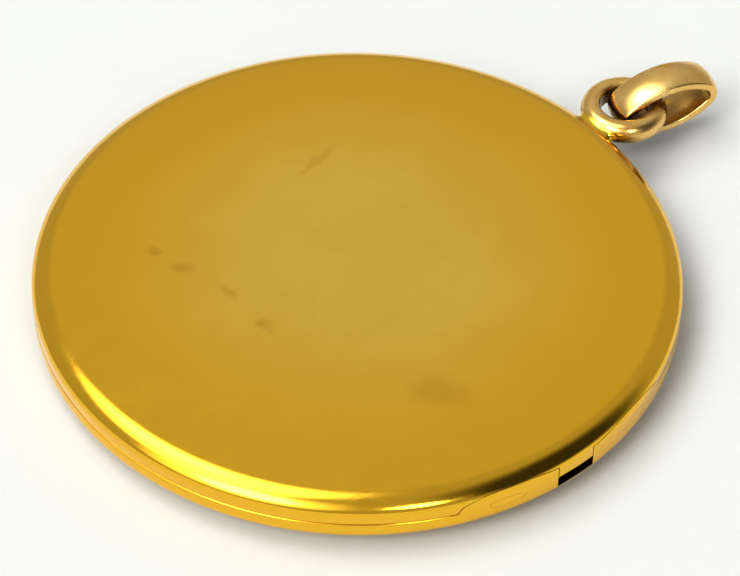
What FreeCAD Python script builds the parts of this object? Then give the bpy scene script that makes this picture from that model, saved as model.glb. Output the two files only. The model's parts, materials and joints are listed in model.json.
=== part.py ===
import FreeCAD, Part
import math
import os

# A round gold locket that opens like a book, with a flush hinge and a bail.
# Millimetres. The locket lies on the middle of its front cover: +Z is up,
# +Y points to the bail and +X to the hinge. The origin is the centre of the
# small flat in the middle of the front cover's outside.

Vector = FreeCAD.Vector
Z_AXIS = Vector(0, 0, 1)
Y_AXIS = Vector(0, 1, 0)
PARTS_FOLDER = "parts"

# Driving dimensions of the two covers
BODY_R = 16.5           # outside radius of both covers
WALL_H = 0.55           # upright wall of one cover, from the parting plane
EDGE_R = 0.5            # small round at the top of the wall
SHOULDER_R = 1.6        # larger round that runs into the crown
EDGE_END = 45.0         # where the edge round hands over, degrees from level
CROWN_SLOPE = 6.5       # slope at which the crown leaves the shoulder, degrees
FLAT_R = 5.0            # flat middle of each cover
SHEET = 0.4             # thickness of the gold sheet
PARTING_GAP = 0.04      # gap between the two rims when closed
RIM_BREAK = 0.05        # broken edge on the outside of each rim

# Hinge: a three-knuckle tube sunk in the rims and filed flush with the wall
HINGE_X = 15.92         # distance of the hinge line from the centre
TUBE_R = 0.82           # radius of the hinge seat and of the outer knuckles
TUBE_GAP = 0.03         # running gap round the tube
HINGE_HALF = 6.75       # half length of the tube along Y
MIDDLE_HALF = 1.1       # half length of the middle knuckle
MIDDLE_Y = -0.24        # the middle knuckle's middle along the tube
KNUCKLE_GAP = 0.05      # gap between two knuckles
MIDDLE_R = 0.47         # free underside of the middle knuckle
PIN_R = 0.25            # hinge pin
PIN_GAP = 0.03          # running gap round the pin in the middle knuckle
PIN_HALF = 2.6          # half length of the pin; gold plugs fill the rest
BEARER_T = 0.25         # thickness of the channel that closes the inside

# Closing collar and catch
COLLAR_T = 0.3          # thickness of the collar
COLLAR_GAP = 0.05       # gap between collar and back cover
COLLAR_UP = 0.45        # height of the collar above the parting plane
COLLAR_DOWN = 0.5       # depth of its solder joint in the front cover
COLLAR_CUT = 7.2        # half width of the opening left for the hinge
RIDGE_R = 0.1           # section radius of the catch ridge
RIDGE_PROUD = 0.035     # how far the ridge stands out of the collar
RIDGE_ARC = 12.0        # length of the ridge round the rim, degrees
NICK_WIDE = 3.4         # nail nick opposite the hinge
NICK_DEEP = 0.28
NICK_H = 0.32

# Picture fittings, the same in both covers; depths are from the parting plane
PICTURE_R = 14.05       # picture card and backing card
GLASS_R = 14.1
FRAME_WALL = 0.2        # thickness of the frame's wall
FRAME_OPENING = 12.9    # radius of the visible picture
FRAME_LIP_R = 14.7      # outside of the frame's lip and of its seat
FRAME_TOP = 0.15        # depth of the frame's visible face
LIP_T = 0.2             # thickness of the frame's lip
GLASS_T = 0.35
CARD_T = 0.2
BACKING_T = 0.13
FRAME_DEEP = 0.92       # depth of the frame's lower edge
SEAT_TOP = 0.4          # depth of the seat's upper edge

# Eye: a D-section ring on the back cover's wall
EYE_Y = 18.7            # centre of the ring
EYE_RISE = 0.68         # height of its middle above the parting plane
EYE_RING_R = 1.68       # centre line of its wire
EYE_WIRE_R = 0.62       # radius of the wire
EYE_HOLE_R = 1.28       # flat inside of the wire
SADDLE_HALF_W = 1.45    # solder saddle between ring and wall
SADDLE_HALF_H = 0.5
SADDLE_DEEP = 1.1

# Bail: an oval D-section link through the eye
BAIL_LONG = 5.85
BAIL_HIGH = 3.3
BAIL_T = 0.58           # thickness at the crown of the band
BAIL_EDGE_T = 0.42      # thickness at the band's edges
BAIL_WIDE = 2.0         # width of the band
BAIL_END_R = 1.05       # outside radius of its two ends
BAIL_REACH = 0.6        # from the middle of the eye's wire to the bail's middle
BAIL_SWIVEL = 17.5      # turn from +Y towards +X
BAIL_TILT = 5.0         # rise of its long way from level, degrees


def edge_point(radius, height, angle, length):
    """Point at an angle above level from a centre in the r, h half plane."""
    turn = math.radians(angle)
    return radius + length * math.cos(turn), height + length * math.sin(turn)


# Centres of the three arcs of the outside, in the r, h half plane
CROWN_START = 90.0 - CROWN_SLOPE
EDGE_CENTRE = (BODY_R - EDGE_R, WALL_H)
SHOULDER_CENTRE = edge_point(*EDGE_CENTRE, EDGE_END, EDGE_R - SHOULDER_R)
SHOULDER_END = edge_point(*SHOULDER_CENTRE, CROWN_START, SHOULDER_R)
CROWN_R = (SHOULDER_END[0] - FLAT_R) / math.cos(math.radians(CROWN_START))
CROWN_CENTRE = edge_point(*SHOULDER_END, CROWN_START, -CROWN_R)
COVER_H = CROWN_CENTRE[1] + CROWN_R
PARTING_Z = COVER_H

FRONT = -1              # the front cover lies below the parting plane
BACK = 1                # the back cover lies above it


def section_point(r, h, side):
    """A point of the X, Z section, h mm away from the parting plane."""
    return Vector(r, 0, PARTING_Z + side * h)


def section_arc(centre, radius, start, end, side):
    """An arc of the section between two angles above level."""
    angles = (start, (start + end) / 2.0, end)
    points = [section_point(*edge_point(*centre, a, radius), side) for a in angles]
    return Part.Arc(*points).toShape()


def section_line(start, end):
    """A straight edge of the section."""
    return Part.LineSegment(start, end).toShape()


def turned(edges):
    """The solid that a closed section makes when turned about the Z axis."""
    face = Part.Face(Part.Wire(Part.__sortEdges__(edges)))
    return face.revolve(Vector(0, 0, 0), Z_AXIS, 360)


def outline_edges(inset, side):
    """The three arcs and the flat of a cover's surface, inset from the outside."""
    top = CROWN_CENTRE[1] + CROWN_R - inset
    return [
        section_arc(EDGE_CENTRE, EDGE_R - inset, 0, EDGE_END, side),
        section_arc(SHOULDER_CENTRE, SHOULDER_R - inset, EDGE_END, CROWN_START, side),
        section_arc(CROWN_CENTRE, CROWN_R - inset, CROWN_START, 90, side),
        section_line(section_point(FLAT_R, top, side), section_point(0, top, side)),
    ]


def half_solid(inset, side, rim_h=0.0, rim_break=0.0):
    """One half of the locket as a solid, from rim_h outwards."""
    radius = BODY_R - inset
    top = CROWN_CENTRE[1] + CROWN_R - inset
    foot = section_point(0, rim_h, side)
    rim = section_point(radius - rim_break, rim_h, side)
    wall = section_point(radius, rim_h + rim_break, side)
    edges = outline_edges(inset, side)
    edges.append(section_line(section_point(0, top, side), foot))
    edges.append(section_line(foot, rim))
    if rim_break > 0:
        edges.append(section_line(rim, wall))
    edges.append(section_line(wall, section_point(radius, WALL_H, side)))
    return turned(edges)


def whole_outline():
    """The closed locket's outside, with no parting line."""
    top = COVER_H
    edges = outline_edges(0, BACK) + outline_edges(0, FRONT)
    edges.append(section_line(section_point(BODY_R, WALL_H, FRONT),
                              section_point(BODY_R, WALL_H, BACK)))
    edges.append(section_line(section_point(0, top, FRONT), section_point(0, top, BACK)))
    return turned(edges)


def disc(radius, low, high, side):
    """A flat round plate between two depths from the parting plane."""
    base = min(side * low, side * high)
    return Part.makeCylinder(radius, high - low, Vector(0, 0, PARTING_Z + base), Z_AXIS)


def band(outer, inner, low, high, side):
    """A flat ring between two depths from the parting plane."""
    return disc(outer, low, high, side).cut(disc(inner, low, high, side))


def hinge_bar(radius, start, end):
    """A round bar on the hinge line between two Y positions."""
    return Part.makeCylinder(radius, end - start, Vector(HINGE_X, start, PARTING_Z), Y_AXIS)


def middle_bar(radius, half):
    """A round bar on the hinge line, centred on the middle knuckle."""
    return hinge_bar(radius, MIDDLE_Y - half, MIDDLE_Y + half)


def both_ends(radius, near, end):
    """Two round bars on the hinge line, one at each side of the middle knuckle."""
    far_bar = hinge_bar(radius, -end, MIDDLE_Y - near)
    return hinge_bar(radius, MIDDLE_Y + near, end).fuse(far_bar)


def half_space(side):
    """A block that holds everything on one side of the parting plane."""
    size = 4 * BODY_R
    low = PARTING_Z if side == BACK else PARTING_Z - size
    return Part.makeBox(size, size, size, Vector(-size / 2, -size / 2, low))


def hinge_seat(side):
    """The groove that a cover needs: snug round its own knuckles, free round the others."""
    outer_r = TUBE_R if side == FRONT else TUBE_R + TUBE_GAP
    middle_r = TUBE_R if side == BACK else TUBE_R + TUBE_GAP
    middle_end = MIDDLE_HALF if side == BACK else MIDDLE_HALF + KNUCKLE_GAP
    outer_end = HINGE_HALF if side == FRONT else HINGE_HALF + TUBE_GAP
    groove = both_ends(outer_r, middle_end, outer_end)
    return groove.fuse(middle_bar(middle_r, middle_end))


def cover(side):
    """A sheet-gold cover with its hinge groove."""
    shell = half_solid(0, side, PARTING_GAP / 2, RIM_BREAK)
    shell = shell.cut(half_solid(SHEET, side))
    return shell.cut(hinge_seat(side))


def nail_nick():
    """A shallow half-moon in the rim opposite the hinge."""
    reach = NICK_WIDE / 2
    radius = (reach ** 2 + NICK_DEEP ** 2) / (2 * NICK_DEEP)
    centre = Vector(-(BODY_R - NICK_DEEP + radius), 0, PARTING_Z)
    return Part.makeCylinder(radius, NICK_H, centre, Z_AXIS)


def hinge_bearer(side):
    """The channel soldered inside a cover, which closes the groove off."""
    seat = hinge_seat(side)
    end = HINGE_HALF + TUBE_GAP + BEARER_T
    channel = hinge_bar(TUBE_R + TUBE_GAP + BEARER_T, -end, end)
    channel = channel.common(half_solid(SHEET, side, PARTING_GAP / 2))
    return channel.cut(seat)


def front_knuckle(end):
    """One long outer knuckle, filed flush with the wall; end is +1 or -1 along Y."""
    near = MIDDLE_HALF + KNUCKLE_GAP
    start, stop = sorted((MIDDLE_Y + end * near, end * HINGE_HALF))
    tube = hinge_bar(TUBE_R, start, stop).common(whole_outline())
    return tube.cut(hinge_bar(PIN_R, start, stop))


def back_knuckle():
    """The middle knuckle: full above, smaller below so that it can turn."""
    upper = middle_bar(TUBE_R, MIDDLE_HALF).common(half_space(BACK))
    lower = middle_bar(MIDDLE_R, MIDDLE_HALF)
    knuckle = upper.fuse(lower).common(whole_outline())
    return knuckle.cut(middle_bar(PIN_R + PIN_GAP, MIDDLE_HALF)).removeSplitter()


def hinge_pin():
    """The steel pin, hidden between the two gold plugs."""
    return hinge_bar(PIN_R, -PIN_HALF, PIN_HALF)


def hinge_plug(end):
    """A gold plug that closes one end of the tube, filed flush."""
    start, stop = sorted((end * PIN_HALF, end * HINGE_HALF))
    return hinge_bar(PIN_R, start, stop).common(whole_outline())


def closing_collar():
    """The inner lip of the front cover, which the back cover closes over."""
    inner = BODY_R - SHEET - COLLAR_GAP - COLLAR_T
    lower = band(BODY_R - SHEET, inner, 0, COLLAR_DOWN, FRONT)
    upper = band(BODY_R - SHEET - COLLAR_GAP, inner, 0, COLLAR_UP, BACK)
    gap = Part.makeBox(BODY_R, 2 * COLLAR_CUT, 2 * COVER_H, Vector(0, -COLLAR_CUT, 0))
    return lower.fuse(upper).cut(gap).removeSplitter()


def catch_ridge():
    """A short ridge on the collar that snaps under the back cover's rim."""
    collar_r = BODY_R - SHEET - COLLAR_GAP
    centre_r = collar_r + RIDGE_PROUD - RIDGE_R
    centre = Vector(-centre_r, 0, PARTING_Z + COLLAR_UP / 2)
    wire = Part.Wire(Part.Circle(centre, Y_AXIS, RIDGE_R).toShape())
    face = Part.Face(wire)
    face.rotate(Vector(0, 0, 0), Z_AXIS, -RIDGE_ARC / 2)
    ridge = face.revolve(Vector(0, 0, 0), Z_AXIS, RIDGE_ARC)
    return ridge.cut(disc(collar_r, 0, COLLAR_UP, BACK))


def frame_seat(side):
    """The ring soldered to the cover's floor that holds the picture frame."""
    inner = GLASS_R + FRAME_WALL
    ring = band(FRAME_LIP_R, inner, SEAT_TOP, COVER_H, side)
    return ring.common(half_solid(SHEET, side))


def picture_frame(side):
    """The snap-in frame: a wall inside the seat and a lip over the glass."""
    wall = band(GLASS_R + FRAME_WALL, GLASS_R, FRAME_TOP, FRAME_DEEP, side)
    lip = band(GLASS_R + FRAME_WALL, FRAME_OPENING, FRAME_TOP, FRAME_TOP + LIP_T, side)
    rest = band(FRAME_LIP_R, GLASS_R, FRAME_TOP, SEAT_TOP, side)
    return wall.fuse(lip).fuse(rest).removeSplitter()


def glass(side):
    """The picture's round glass, under the frame's lip."""
    top = FRAME_TOP + LIP_T
    return disc(GLASS_R, top, top + GLASS_T, side)


def picture_card(side):
    """A blank card where the picture goes."""
    top = FRAME_TOP + LIP_T + GLASS_T
    return disc(PICTURE_R, top, top + CARD_T, side)


def backing_card(side):
    """The packing card behind the picture."""
    top = FRAME_TOP + LIP_T + GLASS_T + CARD_T
    return disc(PICTURE_R, top, top + BACKING_T, side)


def eye_centre():
    """Centre of the eye ring."""
    return Vector(0, EYE_Y, PARTING_Z + EYE_RISE)


def eye_ring():
    """The ring that the bail hangs in: a round wire with a flat inside."""
    centre = eye_centre()
    ring = Part.makeTorus(EYE_RING_R, EYE_WIRE_R, centre, Z_AXIS)
    low = centre - Vector(0, 0, EYE_WIRE_R)
    hole = Part.makeCylinder(EYE_HOLE_R, 2 * EYE_WIRE_R, low, Z_AXIS)
    return ring.cut(hole).cut(whole_outline())


def eye_saddle():
    """The solder that joins the ring to the back cover's wall."""
    centre = Vector(0, BODY_R - WALL_H, PARTING_Z + EYE_RISE)
    oval = Part.Ellipse(centre + Vector(SADDLE_HALF_W, 0, 0),
                        centre + Vector(0, 0, SADDLE_HALF_H), centre)
    block = Part.Face(Part.Wire(oval.toShape())).extrude(Vector(0, SADDLE_DEEP + WALL_H, 0))
    low = eye_centre() - Vector(0, 0, EYE_WIRE_R)
    inside = Part.makeCylinder(EYE_RING_R, 2 * EYE_WIRE_R, low, Z_AXIS)
    return block.cut(whole_outline()).cut(eye_ring()).cut(inside)


def bail_section(centre, across, outward):
    """D section of the bail's band, flat inside and crowned outside."""
    half = across * (BAIL_WIDE / 2)
    a = centre - half
    b = centre + half
    c = b + outward * BAIL_EDGE_T
    d = a + outward * BAIL_EDGE_T
    crown = Part.Arc(c, centre + outward * BAIL_T, d).toShape()
    lines = [Part.LineSegment(p, q).toShape() for p, q in ((a, b), (b, c), (d, a))]
    return Part.Face(Part.Wire(Part.__sortEdges__(lines + [crown])))


def bail_oval():
    """End and side arcs of the bail's inside oval: (centre, radius, half angle) of each."""
    end_r = BAIL_END_R - BAIL_T
    half_long = BAIL_LONG / 2 - BAIL_T
    half_high = BAIL_HIGH / 2 - BAIL_T
    end_x = half_long - end_r
    side_r = (end_x ** 2 + half_high ** 2 - end_r ** 2) / (2 * (half_high - end_r))
    side_angle = math.degrees(math.asin(end_x / (side_r - end_r)))
    return end_x, end_r, side_r, side_r - half_high, side_angle


def bail_link():
    """The bail in its own frame: long way along Y, high way along Z, centred."""
    end_y, end_r, side_r, side_drop, side_angle = bail_oval()
    across = Vector(1, 0, 0)
    link = None
    for sign in (1, -1):
        up = Vector(0, 0, sign)
        centre = up * -side_drop
        face = bail_section(centre + up * side_r, across, up)
        face.rotate(centre, across, -side_angle)
        side = face.revolve(centre, across, 2 * side_angle)
        out = Vector(0, sign, 0)
        centre = out * end_y
        face = bail_section(centre + out * end_r, across, out)
        face.rotate(centre, across, -(90 - side_angle))
        end = face.revolve(centre, across, 2 * (90 - side_angle))
        link = side.fuse(end) if link is None else link.fuse(side).fuse(end)
    return link.removeSplitter()


def bail():
    """The bail hanging through the eye."""
    link = bail_link()
    link.translate(Vector(0, BAIL_REACH, 0))
    link.rotate(Vector(0, 0, 0), Vector(1, 0, 0), BAIL_TILT)
    link.translate(Vector(0, EYE_RING_R, 0))
    link.rotate(Vector(0, 0, 0), Z_AXIS, -BAIL_SWIVEL)
    link.translate(eye_centre())
    return link


def save(name, shape):
    """Write one node, after checking that it is sound."""
    solids = shape.Solids
    assert shape.isValid() and solids, name
    shape = solids[0] if len(solids) == 1 else Part.makeCompound(solids)
    shape.exportStep(os.path.join(PARTS_FOLDER, name + ".step"))
    print("%-28s solids %d volume %.4f" % (name, len(solids), shape.Volume))


def main():
    """Build every piece of the locket."""
    os.makedirs("parts", exist_ok=True)
    for side, name in ((FRONT, "front"), (BACK, "back")):
        shell = cover(side)
        if side == BACK:
            shell = shell.cut(nail_nick())
        save(name + "_cover", shell)
        save(name + "_hinge_bearer", hinge_bearer(side))
        save(name + "_frame_seat", frame_seat(side))
        save(name + "_picture_frame", picture_frame(side))
        save(name + "_glass", glass(side))
        save(name + "_picture_card", picture_card(side))
        save(name + "_backing_card", backing_card(side))
    for end, name in ((1, "bail_end"), (-1, "far_end")):
        save("front_knuckle_" + name, front_knuckle(end))
        save("hinge_plug_" + name, hinge_plug(end))
    save("back_knuckle", back_knuckle())
    save("hinge_pin", hinge_pin())
    save("closing_collar", closing_collar())
    save("catch_ridge", catch_ridge())
    save("eye_ring", eye_ring())
    save("eye_saddle", eye_saddle())
    save("bail", bail())
    print("cover height %.3f, crown radius %.1f" % (COVER_H, CROWN_R))


main()
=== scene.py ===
"""A round gold locket that opens like a book, with a flush hinge, an eye and an oval bail.

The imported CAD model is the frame. This script builds the finely finished pieces around it and
dresses every piece in the metal, glass or card that it is made of. Sizes in the classes are in
millimetres, and become metres where a mesh or a pattern is made.
"""
import json
import logging
import math
from dataclasses import dataclass, field, replace
from enum import Enum

import bmesh
import bpy
from mathutils import Matrix, Vector


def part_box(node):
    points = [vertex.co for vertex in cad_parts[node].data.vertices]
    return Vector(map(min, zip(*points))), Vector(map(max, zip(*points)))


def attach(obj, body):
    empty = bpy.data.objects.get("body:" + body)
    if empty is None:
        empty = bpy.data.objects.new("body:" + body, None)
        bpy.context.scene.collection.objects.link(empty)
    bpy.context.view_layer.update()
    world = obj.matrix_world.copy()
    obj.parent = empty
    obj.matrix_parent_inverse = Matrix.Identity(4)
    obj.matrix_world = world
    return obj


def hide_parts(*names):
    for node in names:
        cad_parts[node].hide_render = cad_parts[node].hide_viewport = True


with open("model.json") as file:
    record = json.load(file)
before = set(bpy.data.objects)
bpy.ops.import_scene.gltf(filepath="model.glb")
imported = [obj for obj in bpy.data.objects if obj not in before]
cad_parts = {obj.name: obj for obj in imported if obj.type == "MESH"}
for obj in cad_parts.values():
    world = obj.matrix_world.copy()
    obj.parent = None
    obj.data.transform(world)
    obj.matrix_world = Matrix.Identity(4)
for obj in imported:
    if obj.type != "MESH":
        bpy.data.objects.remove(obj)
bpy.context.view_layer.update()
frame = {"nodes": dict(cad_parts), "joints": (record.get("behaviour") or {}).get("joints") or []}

MM = 0.001
TINY = 1e-6
SMOOTH_ANGLE = math.radians(32.0)

Section = list[tuple[float, float]]
log = logging.getLogger("locket")


class Half(Enum):
    """The two halves of the locket, and the way that each one faces."""

    FRONT = -1
    BACK = 1

    @property
    def body(self) -> str:
        """Name of the CAD body of this half."""
        return f"{self.name.lower()}_half"

    def node(self, piece: str) -> str:
        """Name of a piece of this half."""
        return f"{self.name.lower()}_{piece}"


class TubeEnd(Enum):
    """The two ends of the hinge tube."""

    BAIL = 1
    FAR = -1


# ---------------------------------------------------------------------------------------------
# Mesh tools


@dataclass(frozen=True)
class Axis:
    """A line that a section is turned about, in millimetres."""

    origin: Vector
    along: Vector = Vector((0.0, 0.0, 1.0))

    def point(self, radius: float, height: float, angle: float) -> Vector:
        """Place a point of a turned section.

        Args:
            radius: Distance from the line.
            height: Distance along the line from its origin.
            angle: Turn about the line, in radians, from the X direction.

        Returns:
            The point in millimetres.
        """
        first = Vector((1.0, 0.0, 0.0))
        second = Vector((0.0, 1.0, 0.0)) if self.along.z else Vector((0.0, 0.0, 1.0))
        spoke = first * math.cos(angle) + second * math.sin(angle)
        return self.origin + spoke * radius + self.along * height


def arc(centre: tuple[float, float], radius: float, start: float, end: float,
        steps: int) -> Section:
    """Points of an arc of a section, both ends included.

    Args:
        centre: Centre of the arc.
        radius: Radius of the arc.
        start: First angle in degrees, counted from the outward direction.
        end: Last angle in degrees.
        steps: Number of chords.

    Returns:
        The points in order.
    """
    angles = [math.radians(start + (end - start) * i / steps) for i in range(steps + 1)]
    return [(centre[0] + radius * math.cos(a), centre[1] + radius * math.sin(a)) for a in angles]


def softened(corners: list[tuple[float, float, float]], steps: int = 4) -> Section:
    """Round the corners of a closed section.

    Args:
        corners: Corners as x, y and the length of the rounding on each side of the corner.
        steps: Chords in one rounded corner.

    Returns:
        The points of the softened section.
    """
    points: Section = []
    for index, (x, y, reach) in enumerate(corners):
        corner = Vector((x, y))
        if reach <= 0:
            points.append((x, y))
            continue
        before = Vector(corners[index - 1][:2])
        after = Vector(corners[(index + 1) % len(corners)][:2])
        enter = corner + (before - corner).normalized() * reach
        leave = corner + (after - corner).normalized() * reach
        for step in range(steps + 1):
            t = step / steps
            bend = enter * (1 - t) ** 2 + corner * (2 * t * (1 - t)) + leave * t ** 2
            points.append((bend.x, bend.y))
    return points


def as_piece(name: str, mesh: bmesh.types.BMesh) -> bpy.types.Object:
    """Make a smooth object in metres from a mesh built in millimetres.

    Args:
        name: Name of the piece.
        mesh: The mesh, which is freed.

    Returns:
        The new object, linked to the scene.
    """
    bmesh.ops.remove_doubles(mesh, verts=mesh.verts, dist=TINY)
    bmesh.ops.recalc_face_normals(mesh, faces=mesh.faces)
    bmesh.ops.scale(mesh, vec=Vector((MM, MM, MM)), verts=mesh.verts)
    data = bpy.data.meshes.new(name)
    mesh.to_mesh(data)
    mesh.free()
    piece = bpy.data.objects.new(name, data)
    bpy.context.scene.collection.objects.link(piece)
    shade(piece)
    return piece


def shade(piece: bpy.types.Object) -> None:
    """Shade a piece smooth, with its real edges kept sharp."""
    for polygon in piece.data.polygons:
        polygon.use_smooth = True
    piece.data.set_sharp_from_angle(angle=SMOOTH_ANGLE)


def skin(rows: list[list[Vector]], closed_rows: bool, closed_ends: bool) -> bmesh.types.BMesh:
    """Join rows of points into a closed surface.

    Args:
        rows: Closed outlines with the same number of points, one after another. A row whose
            points coincide becomes a pole.
        closed_rows: Join the last row to the first.
        closed_ends: Close the first and last row with a face each.

    Returns:
        The mesh.
    """
    mesh = bmesh.new()
    built = []
    for row in rows:
        pole = (row[0] - row[-1]).length < TINY and (row[0] - row[len(row) // 2]).length < TINY
        corners = [mesh.verts.new(row[0])] * len(row) if pole else [mesh.verts.new(p) for p in row]
        built.append(corners)
    pairs = list(zip(built, built[1:]))
    if closed_rows:
        pairs.append((built[-1], built[0]))
    for near, far in pairs:
        for i in range(len(near)):
            j = (i + 1) % len(near)
            corners = list(dict.fromkeys((near[i], near[j], far[j], far[i])))
            if len(corners) > 2:
                mesh.faces.new(corners)
    if closed_ends:
        for row in (built[0], built[-1]):
            if row[0] is not row[-1]:
                mesh.faces.new(row)
    return mesh


def turned(name: str, section: Section, axis: Axis, steps: int,
           start: float = 0.0, sweep: float = 360.0) -> bpy.types.Object:
    """Turn a closed section about a line.

    Args:
        name: Name of the piece.
        section: Points as radius and height.
        axis: The line.
        steps: Steps round the sweep.
        start: Angle at which the sweep starts, in degrees.
        sweep: Angle of the sweep, in degrees.

    Returns:
        The turned piece.
    """
    whole = sweep >= 360.0
    count = steps if whole else steps + 1
    turns = [math.radians(start + sweep * i / steps) for i in range(count)]
    if whole:
        rows = [[axis.point(r, h, a) for a in turns] for r, h in section]
        ends_on_axis = section[0][0] < TINY and section[-1][0] < TINY
        return as_piece(name, skin(rows, not ends_on_axis, False))
    rows = [[axis.point(r, h, a) for r, h in section] for a in turns]
    return as_piece(name, skin(rows, False, True))


def combine(piece: bpy.types.Object, tool: bpy.types.Object, way: str) -> bpy.types.Object:
    """Cut a piece with a tool, or keep what they share.

    Args:
        piece: The piece that is changed.
        tool: The other solid, which is removed.
        way: DIFFERENCE, INTERSECT or UNION.

    Returns:
        The changed piece.
    """
    cut = piece.modifiers.new("cut", "BOOLEAN")
    cut.operation = way
    cut.solver = "EXACT"
    cut.object = tool
    graph = bpy.context.evaluated_depsgraph_get()
    mesh = bpy.data.meshes.new_from_object(piece.evaluated_get(graph))
    piece.modifiers.clear()
    piece.data = mesh
    bpy.data.objects.remove(tool)
    shade(piece)
    return piece


def settle(piece: bpy.types.Object, body: str, slot: str, finish: bpy.types.Material,
           *nodes: str) -> bpy.types.Object:
    """Give a finished piece its body, its finish and the CAD nodes that it stands for.

    Args:
        piece: The piece.
        body: CAD body that it rides on.
        slot: The record's material slot; not used.
        finish: Its material.
        *nodes: CAD nodes that it replaces.

    Returns:
        The piece.
    """
    piece.data.materials.clear()
    piece.data.materials.append(finish)
    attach(piece, body)
    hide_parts(*nodes)
    log.info("%s: %d faces, rides on %s", piece.name, len(piece.data.polygons), body)
    return piece


def dress_node(node: str, finish: bpy.types.Material) -> None:
    """Give a CAD node that stays its real finish.

    Args:
        node: Name of the node.
        finish: Its material.
    """
    piece = frame["nodes"][node]
    piece.data.materials.clear()
    piece.data.materials.append(finish)
    log.info("%s: CAD node, finish %s", node, finish.name)


# ---------------------------------------------------------------------------------------------
# Finishes


def linear(colour: str) -> tuple[float, float, float, float]:
    """Turn an sRGB hex colour into linear red, green, blue and alpha."""
    parts = [int(colour[i:i + 2], 16) / 255.0 for i in (1, 3, 5)]
    light = [c / 12.92 if c <= 0.04045 else ((c + 0.055) / 1.055) ** 2.4 for c in parts]
    return (*light, 1.0)


def add_node(tree: bpy.types.NodeTree, kind: str, inputs: dict | None = None,
             **settings: object) -> bpy.types.Node:
    """Add a node with its settings and links.

    Args:
        tree: Node tree that the node joins.
        kind: Blender's name for the kind of node.
        inputs: Value, or output socket to link, for each input by name or number.
        **settings: Attributes of the node.

    Returns:
        The new node.
    """
    node = tree.nodes.new(kind)
    for name, value in settings.items():
        setattr(node, name, value)
    for name, value in (inputs or {}).items():
        if isinstance(value, bpy.types.NodeSocket):
            tree.links.new(value, node.inputs[name])
        else:
            node.inputs[name].default_value = value
    return node


def new_material(name: str) -> tuple[bpy.types.Material, bpy.types.NodeTree]:
    """Make a material with nothing but its output node.

    Args:
        name: Name of the material.

    Returns:
        The material and its node tree.
    """
    material = bpy.data.materials.new(name)
    material.use_nodes = True
    tree = material.node_tree
    tree.nodes.clear()
    add_node(tree, "ShaderNodeOutputMaterial")
    return material, tree


def show(tree: bpy.types.NodeTree, shader: bpy.types.NodeSocket) -> None:
    """Link a shader to the output node of its material."""
    output = next(n for n in tree.nodes if n.bl_idname == "ShaderNodeOutputMaterial")
    tree.links.new(shader, output.inputs["Surface"])


def finish_surface(tree: bpy.types.NodeTree, inputs: dict) -> None:
    """Add the surface shader with its inputs, and link it to the output node."""
    shader = add_node(tree, "ShaderNodeBsdfPrincipled", inputs)
    show(tree, shader.outputs["BSDF"])


def per_mm(size: float) -> float:
    """Scale of a pattern whose features are this many millimetres across."""
    return 1.0 / (size * MM)


@dataclass(frozen=True)
class Mark:
    """A soft-edged stain or rubbed place on a metal surface, seen from above, in millimetres."""

    x: float
    y: float
    half_long: float
    half_wide: float
    turn: float
    amount: float
    colour: str


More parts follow.
